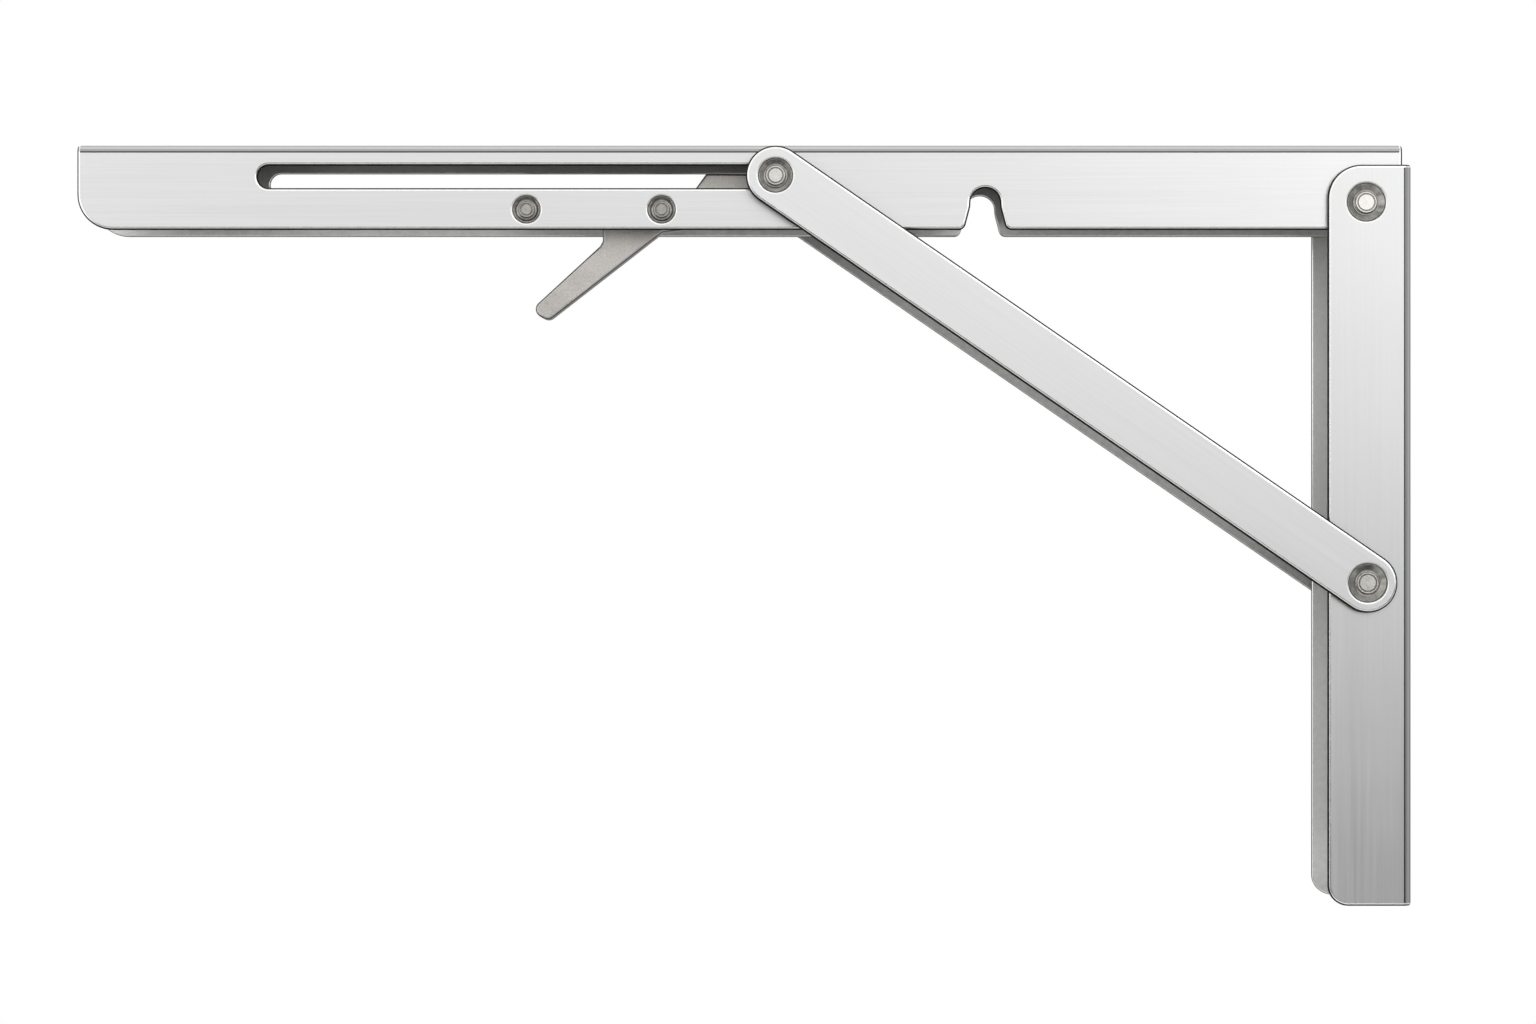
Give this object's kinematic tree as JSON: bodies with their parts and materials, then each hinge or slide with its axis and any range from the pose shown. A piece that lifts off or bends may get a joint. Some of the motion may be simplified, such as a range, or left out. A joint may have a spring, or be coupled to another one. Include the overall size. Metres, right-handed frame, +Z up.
{
  "type": "folding shelf and drop leaf table bracket",
  "caption": "Folding drop leaf table bracket: wall channel, hinged slotted arm, twin strut bars and a latch lever that frees the fold.",
  "frame": {"origin": "on the wall face of the wall channel, midway between its screw holes", "axes": "+X into the wall, +Z up, the open arm reaches out along -X, Y across the bracket"},
  "size_m": [0.3018, 0.0322, 0.1721],
  "materials": {
    "brushed_channel": "stainless steel sheet brushed along its length",
    "brushed_bar": "stainless steel bar brushed along its length",
    "rivet": "formed steel rivet, lightly tumbled",
    "sleeve": "turned steel",
    "cast_lever": "fine blasted casting",
    "spring": "drawn spring wire"
  },
  "bodies": {
    "wall_side": {"wall_channel": "brushed_channel", "hinge_pin": "rivet", "hinge_sleeve": "sleeve", "foot_pin": "rivet", "foot_sleeve": "sleeve"},
    "arm": {"arm_channel": "brushed_channel", "latch_pivot": "rivet", "spring_anchor": "rivet", "latch_bush_front": "sleeve", "latch_bush_rear": "sleeve", "anchor_bush_front": "sleeve", "anchor_bush_rear": "sleeve", "latch_spring": "spring"},
    "lever": {"latch_lever": "cast_lever"},
    "slider": {"slide_pin_front": "sleeve", "slide_pin_rear": "sleeve", "slide_washer_front": "sleeve", "slide_washer_rear": "sleeve"},
    "strut": {"strut_front": "brushed_bar", "strut_rear": "brushed_bar", "slide_rivet_front": "rivet", "slide_rivet_rear": "rivet"}
  },
  "joints": [
    {"name": "arm_fold", "type": "hinge", "parent": "wall_side", "child": "arm", "pos_m": [-0.0102, 0, 0.084], "axis": [0, -1, 0], "range_deg": [0, 90]},
    {"name": "strut_swing", "type": "hinge", "parent": "wall_side", "child": "strut", "pos_m": [-0.0102, 0, -0.002], "axis": [0, -1, 0], "range_deg": [0, 122.5]},
    {"name": "slide_travel", "type": "slide", "parent": "arm", "child": "slider", "axis": [-1, 0, 0], "range_m": [0, 0.1145]},
    {"name": "latch_press", "type": "hinge", "parent": "arm", "child": "lever", "pos_m": [-0.1695, 0, 0.0825], "axis": [0, 1, 0], "range_deg": [0, 28], "stiffness_Nm_per_rad": 0.15, "springref_deg": -20.05, "deforming": ["latch_spring"]}
  ],
  "couplings": [
    {"joint": "strut_swing", "follows": "arm_fold", "ratio": 1.3606},
    {"joint": "slide_travel", "follows": "arm_fold", "m_per_rad": 0.072871}
  ]
}
